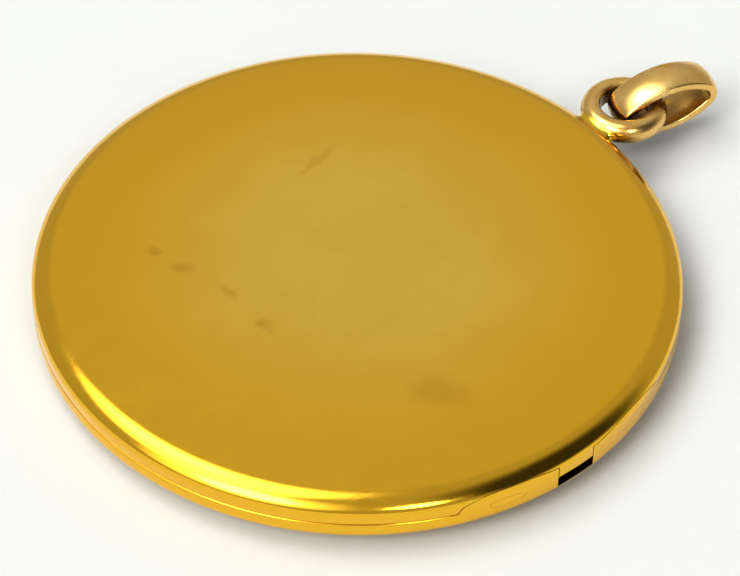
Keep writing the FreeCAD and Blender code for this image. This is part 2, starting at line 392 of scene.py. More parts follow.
@dataclass(frozen=True)
class WornGold:
    """Yellow gold alloy, rolled or drawn, polished and then worn for years.

    Wear leaves a soft satin of fine hairlines over the polish, the alloy's copper gives slow
    drifts of warmer colour, and the sheet is never quite flat, so reflections waver.
    """

    name: str
    pale: str
    deep: str
    rim: str
    roughness: tuple[float, float]
    cloud: float = 5.0
    # Painted shade towards the rim: where it starts and ends, and its strength; rim is its deeper
    # colour
    rim_start: float = 13.0
    rim_end: float = 16.5
    rim_shade_amount: float = 0.0
    hairline_wide: float = 0.09
    hairline_long: float = 4.0
    hairline_turns: tuple[float, ...] = (24.0, 71.0, 128.0)
    hairline_depth: float = 0.25
    waver: float = 5.0
    waver_height: float = 0.012
    grain: float = 0.35
    # Painted shade in recesses: its strength, how far the occlusion looks, and its brown colour
    recess_shade: float = 0.0
    recess_reach: float = 2.6
    recess_shade_colour: str = "#5e3a12"
    marks: tuple[Mark, ...] = field(default=())

    def make(self) -> bpy.types.Material:
        """Make the material.

        Returns:
            The material.
        """
        material, tree = new_material(self.name)
        place = add_node(tree, "ShaderNodeTexCoord").outputs["Object"]
        colour = self.colour(tree, place)
        hairlines = self.hairlines(tree, place)
        rough = self.rough(tree, place, hairlines)
        bump = self.bump(tree, place, hairlines)
        finish_surface(tree, {"Base Color": colour, "Metallic": 1.0, "Roughness": rough,
                              "Normal": bump})
        return material

    def colour(self, tree: bpy.types.NodeTree,
               place: bpy.types.NodeSocket) -> bpy.types.NodeSocket:
        """Colour of the alloy, with its drifts, its painted shade towards the rim and in recesses,
        and its marks.

        Args:
            tree: Node tree of the material.
            place: Coordinates on the piece, in metres.

        Returns:
            The colour socket.
        """
        cloud = add_node(tree, "ShaderNodeTexNoise", {
            "Vector": place, "Scale": per_mm(self.cloud), "Detail": 4.0, "Roughness": 0.6})
        share = add_node(tree, "ShaderNodeMapRange", {
            "Value": cloud.outputs["Fac"], "From Min": 0.36, "From Max": 0.64})
        mixed = add_node(tree, "ShaderNodeMix", {
            0: share.outputs["Result"], 6: linear(self.pale), 7: linear(self.deep)},
            data_type="RGBA")
        colour = mixed.outputs[2]
        # Painted shade: the colour is mixed towards the deeper rim colour with distance from the
        # middle
        if self.rim_shade_amount > 0:
            flat = add_node(tree, "ShaderNodeVectorMath", {0: place, 1: (1.0, 1.0, 0.0)},
                            operation="MULTIPLY")
            radius = add_node(tree, "ShaderNodeVectorMath", {0: flat.outputs["Vector"]},
                              operation="LENGTH")
            rim_shade_share = add_node(tree, "ShaderNodeMapRange", {
                "Value": radius.outputs["Value"], "From Min": self.rim_start * MM,
                "From Max": self.rim_end * MM, "To Max": self.rim_shade_amount},
                interpolation_type="SMOOTHSTEP")
            rim_shaded = add_node(tree, "ShaderNodeMix", {
                0: rim_shade_share.outputs["Result"], 6: colour, 7: linear(self.rim)},
                data_type="RGBA")
            colour = rim_shaded.outputs[2]
        # Painted shade: brown darkening where ambient occlusion finds a recess
        if self.recess_shade > 0:
            colour = self.shaded_in_recesses(tree, colour)
        ragged = add_node(tree, "ShaderNodeTexNoise", {
            "Vector": place, "Scale": per_mm(0.9), "Detail": 3.0})
        centred = add_node(tree, "ShaderNodeVectorMath", {
            0: ragged.outputs["Color"], 1: (0.5, 0.5, 0.5)}, operation="SUBTRACT")
        drift = add_node(tree, "ShaderNodeVectorMath", {
            0: centred.outputs["Vector"], "Scale": 0.9 * MM}, operation="SCALE")
        wandering = add_node(tree, "ShaderNodeVectorMath", {
            0: place, 1: drift.outputs["Vector"]}, operation="ADD")
        for mark in self.marks:
            inside = add_node(tree, "ShaderNodeMapping", {
                "Vector": wandering.outputs["Vector"],
                "Location": (mark.x * MM, mark.y * MM, 0.0),
                "Rotation": (0.0, 0.0, math.radians(mark.turn)),
                "Scale": (mark.half_long * MM, mark.half_wide * MM, 1.0)}, vector_type="TEXTURE")
            away = add_node(tree, "ShaderNodeVectorMath", {0: inside.outputs["Vector"]},
                            operation="LENGTH")
            fade = add_node(tree, "ShaderNodeMapRange", {
                "Value": away.outputs["Value"], "From Min": 1.0, "From Max": 0.1,
                "To Max": mark.amount}, interpolation_type="SMOOTHSTEP")
            stained = add_node(tree, "ShaderNodeMix", {
                0: fade.outputs["Result"], 6: colour, 7: linear(mark.colour)},
                data_type="RGBA")
            colour = stained.outputs[2]
        return colour

    def shaded_in_recesses(self, tree: bpy.types.NodeTree,
                  colour: bpy.types.NodeSocket) -> bpy.types.NodeSocket:
        """Colour with the brown film that polishing never reaches in the recesses.

        Args:
            tree: Node tree of the material.
            colour: Colour of the metal without the painted shade.

        Returns:
            The colour socket.
        """
        openness = add_node(tree, "ShaderNodeAmbientOcclusion", {
            "Distance": self.recess_reach * MM}, samples=8)
        painted_shade = add_node(tree, "ShaderNodeMapRange", {
            "Value": openness.outputs["AO"], "From Min": 0.82, "From Max": 0.4,
            "To Max": self.recess_shade})
        mixed = add_node(tree, "ShaderNodeMix", {
            0: painted_shade.outputs["Result"], 6: colour, 7: linear(self.recess_shade_colour)}, data_type="RGBA")
        return mixed.outputs[2]

    def hairlines(self, tree: bpy.types.NodeTree,
                  place: bpy.types.NodeSocket) -> bpy.types.NodeSocket:
        """Fine rubbed lines in a few directions, one where a line is and zero elsewhere.

        Real hairlines are about a hundredth of a millimetre wide. They are drawn wider here,
        so that they show.

        Args:
            tree: Node tree of the material.
            place: Coordinates on the piece, in metres.

        Returns:
            The socket that says where the lines are.
        """
        total = None
        for turn in self.hairline_turns:
            stretched = add_node(tree, "ShaderNodeMapping", {
                "Vector": place, "Rotation": (0.0, 0.0, math.radians(turn)),
                "Scale": (self.hairline_long * MM, self.hairline_wide * MM, 1.0 * MM)},
                vector_type="TEXTURE")
            lines = add_node(tree, "ShaderNodeTexNoise", {
                "Vector": stretched.outputs["Vector"], "Scale": 1.0, "Detail": 1.0})
            crisp = add_node(tree, "ShaderNodeMapRange", {
                "Value": lines.outputs["Fac"], "From Min": 0.60, "From Max": 0.74})
            if total is None:
                total = crisp.outputs["Result"]
            else:
                both = add_node(tree, "ShaderNodeMath", {0: total, 1: crisp.outputs["Result"]},
                                operation="MAXIMUM")
                total = both.outputs["Value"]
        return total

    def rough(self, tree: bpy.types.NodeTree, place: bpy.types.NodeSocket,
              hairlines: bpy.types.NodeSocket) -> bpy.types.NodeSocket:
        """Roughness, with rubbed places and hairlines duller than the polish between them.

        Args:
            tree: Node tree of the material.
            place: Coordinates on the piece, in metres.
            hairlines: Where the hairlines are.

        Returns:
            The roughness socket.
        """
        rubbed = add_node(tree, "ShaderNodeTexNoise", {
            "Vector": place, "Scale": per_mm(2.2), "Detail": 5.0, "Roughness": 0.65})
        base = add_node(tree, "ShaderNodeMapRange", {
            "Value": rubbed.outputs["Fac"], "From Min": 0.35, "From Max": 0.65,
            "To Min": self.roughness[0], "To Max": self.roughness[1]})
        duller = add_node(tree, "ShaderNodeMath", {
            0: hairlines, 1: 0.05, 2: base.outputs["Result"]}, operation="MULTIPLY_ADD")
        return duller.outputs["Value"]

    def bump(self, tree: bpy.types.NodeTree, place: bpy.types.NodeSocket,
             hairlines: bpy.types.NodeSocket) -> bpy.types.NodeSocket:
        """Slow waver of the sheet, fine grain of the wear and the hairlines, as one bump.

        Args:
            tree: Node tree of the material.
            place: Coordinates on the piece, in metres.
            hairlines: Where the hairlines are.

        Returns:
            The normal socket.
        """
        waver = add_node(tree, "ShaderNodeTexNoise", {
            "Vector": place, "Scale": per_mm(self.waver), "Detail": 1.0})
        slow = add_node(tree, "ShaderNodeBump", {
            "Strength": 1.0, "Distance": self.waver_height * MM,
            "Height": waver.outputs["Fac"]})
        grain = add_node(tree, "ShaderNodeTexNoise", {
            "Vector": place, "Scale": per_mm(self.grain), "Detail": 3.0})
        worn = add_node(tree, "ShaderNodeMath", {
            0: hairlines, 1: -self.hairline_depth, 2: grain.outputs["Fac"]},
            operation="MULTIPLY_ADD")
        fine = add_node(tree, "ShaderNodeBump", {
            "Strength": 1.0, "Distance": 0.0012 * MM, "Height": worn.outputs["Value"],
            "Normal": slow.outputs["Normal"]})
        return fine.outputs["Normal"]


@dataclass(frozen=True)
class DrawnSteel:
    """Hardened steel wire, drawn through a die, which leaves fine lines along it."""

    name: str = "drawn_steel_pin"
    bright: str = "#c9c8c4"
    oiled: str = "#8f8c86"
    line: float = 0.03

    def make(self) -> bpy.types.Material:
        """Make the material."""
        material, tree = new_material(self.name)
        place = add_node(tree, "ShaderNodeTexCoord").outputs["Object"]
        stretched = add_node(tree, "ShaderNodeMapping", {
            "Vector": place, "Scale": (self.line * MM, 3.0 * MM, self.line * MM)},
            vector_type="TEXTURE")
        lines = add_node(tree, "ShaderNodeTexNoise", {
            "Vector": stretched.outputs["Vector"], "Scale": 1.0, "Detail": 3.0})
        colour = add_node(tree, "ShaderNodeMix", {
            0: lines.outputs["Fac"], 6: linear(self.bright), 7: linear(self.oiled)},
            data_type="RGBA")
        rough = add_node(tree, "ShaderNodeMapRange", {
            "Value": lines.outputs["Fac"], "To Min": 0.18, "To Max": 0.42})
        bump = add_node(tree, "ShaderNodeBump", {
            "Distance": 0.003 * MM, "Height": lines.outputs["Fac"]})
        finish_surface(tree, {"Base Color": colour.outputs[2], "Metallic": 1.0,
                              "Roughness": rough.outputs["Result"],
                              "Normal": bump.outputs["Normal"]})
        return material


@dataclass(frozen=True)
class WatchGlass:
    """Thin soda-lime glass, ground and polished flat, with the faint smears of handling.

    So thin and flat a glass shifts nothing that is seen through it, so it is a clear sheet that
    mirrors more at a slant. The mirror share holds for the near face only: at the far face it is
    too high, which makes the glass look black at a slant.
    """

    name: str = "polished_glass"
    tint: str = "#f4faf6"
    smear: float = 4.0

    def make(self) -> bpy.types.Material:
        """Make the material."""
        material, tree = new_material(self.name)
        place = add_node(tree, "ShaderNodeTexCoord").outputs["Object"]
        smears = add_node(tree, "ShaderNodeTexNoise", {
            "Vector": place, "Scale": per_mm(self.smear), "Detail": 5.0, "Distortion": 0.8})
        rough = add_node(tree, "ShaderNodeMapRange", {
            "Value": smears.outputs["Fac"], "From Min": 0.45, "From Max": 0.75,
            "To Min": 0.01, "To Max": 0.09})
        mirrored = add_node(tree, "ShaderNodeBsdfAnisotropic", {
            "Color": linear("#ffffff"), "Roughness": rough.outputs["Result"]})
        clear = add_node(tree, "ShaderNodeBsdfTransparent", {"Color": linear(self.tint)})
        share = add_node(tree, "ShaderNodeFresnel", {"IOR": 1.52})
        sheet = add_node(tree, "ShaderNodeMixShader", {
            0: share.outputs["Fac"], 1: clear.outputs["BSDF"], 2: mirrored.outputs["BSDF"]})
        show(tree, sheet.outputs["Shader"])
        return material


@dataclass(frozen=True)
class PaperCard:
    """Rag paper card, calendered, yellowed with age and mottled with faint brown foxing."""

    name: str
    sheet: str
    aged: str
    foxing: str = "#a9763f"
    fibre: float = 0.12
    spot: float = 1.6

    def make(self) -> bpy.types.Material:
        """Make the material."""
        material, tree = new_material(self.name)
        place = add_node(tree, "ShaderNodeTexCoord").outputs["Object"]
        age = add_node(tree, "ShaderNodeTexNoise", {
            "Vector": place, "Scale": per_mm(7.0), "Detail": 4.0})
        yellowed = add_node(tree, "ShaderNodeMix", {
            0: age.outputs["Fac"], 6: linear(self.sheet), 7: linear(self.aged)},
            data_type="RGBA")
        spots = add_node(tree, "ShaderNodeTexNoise", {
            "Vector": place, "Scale": per_mm(self.spot), "Detail": 2.0})
        foxed = add_node(tree, "ShaderNodeMapRange", {
            "Value": spots.outputs["Fac"], "From Min": 0.62, "From Max": 0.78, "To Max": 0.5})
        colour = add_node(tree, "ShaderNodeMix", {
            0: foxed.outputs["Result"], 6: yellowed.outputs[2], 7: linear(self.foxing)},
            data_type="RGBA")
        fibres = add_node(tree, "ShaderNodeTexNoise", {
            "Vector": place, "Scale": per_mm(self.fibre), "Detail": 3.0, "Distortion": 1.5})
        bump = add_node(tree, "ShaderNodeBump", {
            "Strength": 0.6, "Distance": 0.012 * MM, "Height": fibres.outputs["Fac"]})
        rough = add_node(tree, "ShaderNodeMapRange", {
            "Value": fibres.outputs["Fac"], "To Min": 0.7, "To Max": 0.92})
        finish_surface(tree, {"Base Color": colour.outputs[2],
                              "Roughness": rough.outputs["Result"],
                              "Normal": bump.outputs["Normal"]})
        return material


@dataclass(frozen=True)
class StudioPaper:
    """Matt white background paper, with a faint tooth."""

    name: str = "matt_white_paper"
    white: str = "#bdc0c1"
    shade: str = "#babdbe"

    def make(self) -> bpy.types.Material:
        """Make the material."""
        material, tree = new_material(self.name)
        place = add_node(tree, "ShaderNodeTexCoord").outputs["Object"]
        tooth = add_node(tree, "ShaderNodeTexNoise", {
            "Vector": place, "Scale": per_mm(9.0), "Detail": 4.0})
        colour = add_node(tree, "ShaderNodeMix", {
            0: tooth.outputs["Fac"], 6: linear(self.white), 7: linear(self.shade)},
            data_type="RGBA")
        finish_surface(tree, {"Base Color": colour.outputs[2], "Roughness": 0.9,
                              "Specular IOR Level": 0.2})
        return material


# Darker orange patches on the back cover, and one long thin one
COVER_MARKS = (
    Mark(-5.0, -7.3, 0.9, 0.55, 30.0, 0.3, "#b5761e"),
    Mark(-2.2, -6.7, 0.8, 0.5, -10.0, 0.25, "#b5761e"),
    Mark(0.7, -6.9, 0.9, 0.5, 10.0, 0.3, "#b07420"),
    Mark(-7.0, -7.7, 0.55, 0.4, 0.0, 0.3, "#b5761e"),
    Mark(-6.6, 2.9, 2.4, 0.34, 101.0, 0.22, "#b9781f"),
    Mark(9.7, -3.1, 2.4, 1.5, 40.0, 0.2, "#ad7a24"),
)

# Polished sheet keeps a deep mirror, with painted shade that deepens its colour towards the rim
COVER_GOLD = WornGold(
    "polished_yellow_gold_sheet", pale="#f6cc52", deep="#f0c449", rim="#eeb62a",
    roughness=(0.09, 0.14), rim_start=4.0, rim_end=14.0, rim_shade_amount=0.9, hairline_depth=0.09,
    marks=COVER_MARKS)
FRONT_GOLD = replace(COVER_GOLD, name="polished_yellow_gold_sheet_underside", marks=())
# Drawn tube, filed flush, is the same gold with a slightly duller face, and painted shade in its
# recesses
HINGE_GOLD = replace(FRONT_GOLD, name="drawn_gold_hinge_tube", roughness=(0.16, 0.22),
                     recess_shade=0.9)
# Drawn wire of a rosier alloy, rubbed satin by the chain, with painted shade in its recesses
LINK_GOLD = WornGold(
    "drawn_rose_gold_wire", pale="#efc97c", deep="#e2b25c", rim="#e2b25c",
    roughness=(0.16, 0.28), cloud=1.8, waver=1.4, waver_height=0.008, hairline_depth=0.1,
    recess_shade=0.85,
    marks=(Mark(0.1, 21.4, 0.8, 0.45, 60.0, 0.8, "#e0a81e"),
           Mark(-0.2, 21.25, 0.16, 0.12, 0.0, 0.8, "#7a4d10")))
# Solder is yellower than the metals that it joins, and its surface is as it flowed
SOLDER_GOLD = WornGold(
    "yellow_gold_solder", pale="#f3cf52", deep="#e2b02c", rim="#e2b02c",
    roughness=(0.16, 0.3), cloud=0.9, waver=0.8, waver_height=0.02)
# The fittings inside are hardly worn, and get painted shade in their recesses
INNER_GOLD = WornGold(
    "polished_gold_inner_fittings", pale="#f3d07a", deep="#e9bf60", rim="#e0ac48",
    roughness=(0.12, 0.2), hairline_depth=0.12, recess_shade=0.9)


# ---------------------------------------------------------------------------------------------
# The locket


def box_mm(node: str) -> tuple[Vector, Vector]:
    """Lowest and highest corner of a CAD node, in millimetres."""
    low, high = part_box(node)
    return low / MM, high / MM


PARTING_Z = (box_mm("front_cover")[0].z + box_mm("back_cover")[1].z) / 2
BODY_R = box_mm("front_cover")[1].y
BODY_AXIS = Axis(Vector((0.0, 0.0, PARTING_Z)))
ROUND_STEPS = 400


def joint_named(name: str) -> dict:
    """The CAD joint of this name."""
    return next(joint for joint in frame["joints"] if joint["name"] == name)


@dataclass(frozen=True)
class Outline:
    """The outside of one cover: wall, edge round, shoulder, domed crown and a small flat."""

    wall: float = 0.55
    edge_r: float = 0.5
    shoulder_r: float = 1.6
    edge_end: float = 45.0
    crown_slope: float = 6.5
    flat_r: float = 5.0

    def profile(self, inset: float) -> Section:
        """The outline from the top of the wall to the axis.

        Args:
            inset: Distance inside the outside surface.

        Returns:
            Points as radius and height above the parting plane.
        """
        crown_start = 90.0 - self.crown_slope
        edge_centre = (BODY_R - self.edge_r, self.wall)
        shoulder_centre = arc(edge_centre, self.edge_r - self.shoulder_r, self.edge_end,
                              self.edge_end, 1)[0]
        shoulder_end = arc(shoulder_centre, self.shoulder_r, crown_start, crown_start, 1)[0]
        crown_r = (shoulder_end[0] - self.flat_r) / math.cos(math.radians(crown_start))
        crown_centre = arc(shoulder_end, -crown_r, crown_start, crown_start, 1)[0]
        points = arc(edge_centre, self.edge_r - inset, 0.0, self.edge_end, 9)
        points += arc(shoulder_centre, self.shoulder_r - inset, self.edge_end, crown_start, 12)[1:]
        points += arc(crown_centre, crown_r - inset, crown_start, 90.0, 14)[1:]
        points.append((self.flat_r / 2, points[-1][1]))
        points.append((0.0, points[-1][1]))
        return points

    def distance(self, radius: float, height: float) -> float:
        """Distance of a point near the edge from the outside surface.

        Args:
            radius: Distance of the point from the middle of the cover.
            height: Its height above the parting plane.

        Returns:
            The distance, negative inside.
        """
        edge_r = BODY_R - self.edge_r
        if height <= self.wall:
            return radius - BODY_R
        if math.degrees(math.atan2(height - self.wall, radius - edge_r)) < self.edge_end:
            return math.hypot(radius - edge_r, height - self.wall) - self.edge_r
        shoulder = arc((edge_r, self.wall), self.edge_r - self.shoulder_r, self.edge_end,
                       self.edge_end, 1)[0]
        return math.hypot(radius - shoulder[0], height - shoulder[1]) - self.shoulder_r


@dataclass
class HingeSizes:
    """The three-knuckle tube that is sunk in the rims and filed flush with the wall."""

    x: float = joint_named("cover_hinge")["pos_m"][0] / MM
    tube_r: float = 0.82
    gap: float = 0.03
    half: float = 6.75
    middle_half: float = 1.1
    middle_y: float = -0.24
    knuckle_gap: float = 0.05
    middle_free_r: float = 0.47
    pin_r: float = 0.25
    pin_gap: float = 0.03
    plug_start: float = 2.6
    plug_line: float = 0.012
    chamfer: float = 0.035
    steps: int = 96

    def axis(self) -> Axis:
        """The hinge line."""
        return Axis(Vector((self.x, 0.0, PARTING_Z)), Vector((0.0, 1.0, 0.0)))

    def bar(self, name: str, stations: Section) -> bpy.types.Object:
        """A round bar on the hinge line.

        Args:
            name: Name of the piece.
            stations: Positions along the line with the radius at each.

        Returns:
            The bar, with closed ends.
        """
        section = [(0.0, stations[0][0])]
        section += [(radius, along) for along, radius in stations]
        section.append((0.0, stations[-1][0]))
        return turned(name, section, self.axis(), self.steps)

    def seat(self, half: Half) -> bpy.types.Object:
        """The groove of one cover: snug round its own knuckles and free round the others.

        Args:
            half: The cover that the groove is cut in.

        Returns:
            The cutter.
        """
        free = self.tube_r + self.gap
        if half is Half.FRONT:
            end, outer_r = self.half, self.tube_r
            middle, middle_r = self.middle_half + self.knuckle_gap, free
        else:
            end, outer_r = self.half + self.gap, free
            middle, middle_r = self.middle_half, self.tube_r
        low, high = self.middle_y - middle, self.middle_y + middle
        return self.bar("seat", [(-end, outer_r), (low, outer_r), (low, middle_r),
                                 (high, middle_r), (high, outer_r), (end, outer_r)])


@dataclass
class Cover:
    """One domed cover of pressed sheet gold, with its hinge groove."""

    half: Half
    finish: WornGold
    outline: Outline
    hinge: HingeSizes
    sheet: float = 0.4
    parting_gap: float = 0.04
    rim_round: float = 0.07
    nick_wide: float = 3.4
    nick_deep: float = 0.28
    nick_high: float = 0.32

    def section(self) -> Section:
        """The closed section of the sheet, from the axis out, round the rim and back in."""
        rim_h = self.parting_gap / 2
        outer = self.outline.profile(0.0)
        inner = self.outline.profile(self.sheet)
        centre = (BODY_R - self.rim_round, rim_h + self.rim_round)
        rim = arc(centre, self.rim_round, 0.0, -90.0, 4)
        wall_inside = (BODY_R - self.sheet, rim_h)
        path = list(reversed(outer)) + rim + [wall_inside] + inner
        return [(radius, self.half.value * height) for radius, height in path]

    def nick_tool(self) -> bpy.types.Object:
        """The round cutter that makes the nail nick opposite the hinge."""
        reach = self.nick_wide / 2
        radius = (reach ** 2 + self.nick_deep ** 2) / (2 * self.nick_deep)
        centre = Vector((-(BODY_R - self.nick_deep + radius), 0.0, PARTING_Z))
        section = [(0.0, -0.1), (radius, -0.1), (radius, self.nick_high), (0.0, self.nick_high)]
        return turned("nick", section, Axis(centre), 256)

    def build(self) -> bpy.types.Object:
        """Build the cover.

        Returns:
            The finished piece.
        """
        node = self.half.node("cover")
        shell = turned(f"{node}_shell", self.section(), BODY_AXIS, ROUND_STEPS)
        combine(shell, self.hinge.seat(self.half), "DIFFERENCE")
        if self.half is Half.BACK:
            combine(shell, self.nick_tool(), "DIFFERENCE")
        return settle(shell, self.half.body, "cover_gold", self.finish.make(), node)


@dataclass
class Hinge:
    """The knuckles, the plugs and the pin, with the bearers behind them."""

    sizes: HingeSizes
    outline: Outline

    def solid_outline(self) -> bpy.types.Object:
        """The outside of the whole closed locket as one solid."""
        upper = self.outline.profile(0.0)
        lower = [(radius, -height) for radius, height in reversed(upper)]
        return turned("outline", lower + upper, BODY_AXIS, ROUND_STEPS)

    def outer_knuckle(self, end: TubeEnd) -> bpy.types.Object:
        """One long outer knuckle, bored and filed flush.

        Args:
            end: The end of the tube that it makes.

        Returns:
            The finished piece.
        """
        s = self.sizes
        near = s.middle_half + s.knuckle_gap + end.value * s.middle_y
        stations = [(near, s.tube_r - s.chamfer), (near + s.chamfer, s.tube_r), (s.half, s.tube_r)]
        if end is TubeEnd.FAR:
            stations = [(-along, radius) for along, radius in reversed(stations)]
        node = f"front_knuckle_{end.name.lower()}_end"
        knuckle = s.bar(f"{node}_tube", stations)
        combine(knuckle, self.solid_outline(), "INTERSECT")
        bore = s.pin_r + s.plug_line
        combine(knuckle, s.bar("bore", [(-s.half - 1, bore), (s.half + 1, bore)]), "DIFFERENCE")
        return settle(knuckle, Half.FRONT.body, "hinge_gold", self.gold, node)

    def plug(self, end: TubeEnd) -> bpy.types.Object:
        """The gold plug that closes one end of the tube, filed flush.

        Args:
            end: The end of the tube that it closes.

        Returns:
            The finished piece.
        """
        s = self.sizes
        near, far = sorted((end.value * s.plug_start, end.value * s.half))
        node = f"hinge_plug_{end.name.lower()}_end"
        plug = s.bar(f"{node}_wire", [(near, s.pin_r), (far, s.pin_r)])
        combine(plug, self.solid_outline(), "INTERSECT")
        return settle(plug, Half.FRONT.body, "hinge_gold", self.gold, node)

    def middle_knuckle(self) -> bpy.types.Object:
        """The middle knuckle: full above, and smaller below so that it can turn."""
        s = self.sizes
        round_above = arc((0.0, 0.0), s.tube_r, 0.0, 180.0, 48)
        round_below = arc((0.0, 0.0), s.middle_free_r, 180.0, 360.0, 48)
        rows = []
        for along, shrink in ((-s.middle_half, s.chamfer), (-s.middle_half + s.chamfer, 0.0),
                              (s.middle_half - s.chamfer, 0.0), (s.middle_half, s.chamfer)):
            row = []
            for x, z in round_above + round_below:
                scale = 1.0 - shrink / s.tube_r
                row.append(Vector((s.x + x * scale, s.middle_y + along, PARTING_Z + z * scale)))
            rows.append(row)
        knuckle = as_piece("back_knuckle_tube", skin(rows, False, True))
        combine(knuckle, self.solid_outline(), "INTERSECT")
        bore = s.pin_r + s.pin_gap
        combine(knuckle, s.bar("bore", [(-s.half, bore), (s.half, bore)]), "DIFFERENCE")
        return settle(knuckle, Half.BACK.body, "hinge_gold", self.gold, "back_knuckle")

    def build(self) -> None:
        """Build every piece of the hinge."""
        self.gold = HINGE_GOLD.make()
        for end in TubeEnd:
            self.outer_knuckle(end)
            self.plug(end)
        self.middle_knuckle()
        dress_node("hinge_pin", DrawnSteel().make())
        inner = INNER_GOLD.make()
        for half in Half:
            dress_node(half.node("hinge_bearer"), inner)


@dataclass
class ClosingRim:
    """The collar that the back cover closes over, and the ridge that holds it shut."""

    sheet: float = 0.4
    thick: float = 0.3
    gap: float = 0.05
    up: float = 0.45
    down: float = 0.5
    cut: float = 7.2
    soft: float = 0.06
    ridge_r: float = 0.1
    ridge_proud: float = 0.035
    ridge_arc: float = 12.0

    def build(self) -> None:
        """Build the collar and its ridge."""
        gold = INNER_GOLD.make()
        outer = BODY_R - self.sheet
        free = outer - self.gap
        inner = free - self.thick
        section = softened([
            (inner, -self.down, self.soft), (outer, -self.down, self.soft), (outer, 0.0, 0.0),
            (free, 0.0, 0.0), (free, self.up, self.soft), (inner, self.up, self.soft)])
        blank = math.degrees(math.asin(self.cut / free))
        collar = turned("closing_collar_band", section, BODY_AXIS, 300, blank, 360.0 - 2 * blank)
        settle(collar, Half.FRONT.body, "inner_gold", gold, "closing_collar")
        centre = (free + self.ridge_proud - self.ridge_r, self.up / 2)
        bead = arc(centre, self.ridge_r, -75.0, 75.0, 12)
        ridge = turned("catch_ridge_bead", bead, BODY_AXIS, 40, 180.0 - self.ridge_arc / 2,
                       self.ridge_arc)
        settle(ridge, Half.FRONT.body, "inner_gold", gold, "catch_ridge")


@dataclass
class PictureFitting:
    """The snap-in frame with its glass, blank card and packing, in one half."""

    half: Half
    opening: float = 12.9
    glass_r: float = 14.1
    card_r: float = 14.05
    wall: float = 0.2
    lip_r: float = 14.7
    face: float = 0.15
    lip: float = 0.2
    glass_thick: float = 0.35
    card_thick: float = 0.2
    deep: float = 0.92
    seat_top: float = 0.4
    soft: float = 0.07
    air: float = 0.01
    edge_band: float = 3.0

    def plate(self, name: str, radius: float, near: float, far: float,
              soft: float) -> bpy.types.Object:
        """A round plate between two depths from the parting plane, with a soft edge.

        Args:
            name: Name of the piece.
            radius: Its radius.
            near: Depth of the side that faces the opening.
            far: Depth of the side that faces the cover.
            soft: Length of the rounding at its edge.

        Returns:
            The plate.
        """
        flat = radius - self.edge_band * soft
        edge = softened([(0.0, near, 0.0), (flat, near, 0.0), (radius, near, soft),
                         (radius, far, soft), (flat, far, 0.0), (0.0, far, 0.0)])
        section = [(r, self.half.value * h) for r, h in edge]
        return turned(name, section, BODY_AXIS, 200)

    def frame_ring(self) -> bpy.types.Object:
        """The frame: a wall inside the seat, a rounded lip over the glass and a rest outside."""
        outer = self.glass_r + self.wall
        near = self.face
        corners = [
            (self.opening, near + self.lip, 0.04), (self.opening, near, self.soft),
            (self.lip_r, near, self.soft), (self.lip_r, self.seat_top, 0.05),
            (outer, self.seat_top, 0.0), (outer, self.deep, 0.04),
            (self.glass_r, self.deep, 0.04), (self.glass_r, near + self.lip, 0.0)]
        section = [(r, self.half.value * h) for r, h in softened(corners)]
        return turned(f"{self.half.node('picture_frame')}_ring", section, BODY_AXIS, 300)

    def build(self) -> None:
        """Build the frame, the glass and the card, and dress the pieces behind them."""
        half = self.half
        gold = INNER_GOLD.make()
        settle(self.frame_ring(), half.body, "inner_gold", gold, half.node("picture_frame"))
        near = self.face + self.lip
        glass = self.plate(f"{half.node('glass')}_disc", self.glass_r, near,
                           near + self.glass_thick - self.air, 0.08)
        settle(glass, half.body, "picture_glass", WatchGlass().make(), half.node("glass"))
        near += self.glass_thick
        card = self.plate(f"{half.node('picture_card')}_disc", self.card_r, near + self.air,
                          near + self.card_thick, 0.03)
        paper = PaperCard(f"aged_rag_card_{half.name.lower()}", "#efe6cf", "#e2d3ae")
        settle(card, half.body, "picture_card", paper.make(), half.node("picture_card"))
        board = PaperCard(f"grey_packing_card_{half.name.lower()}", "#b9b09a", "#a3987e")
        dress_node(half.node("backing_card"), board.make())
        dress_node(half.node("frame_seat"), gold)


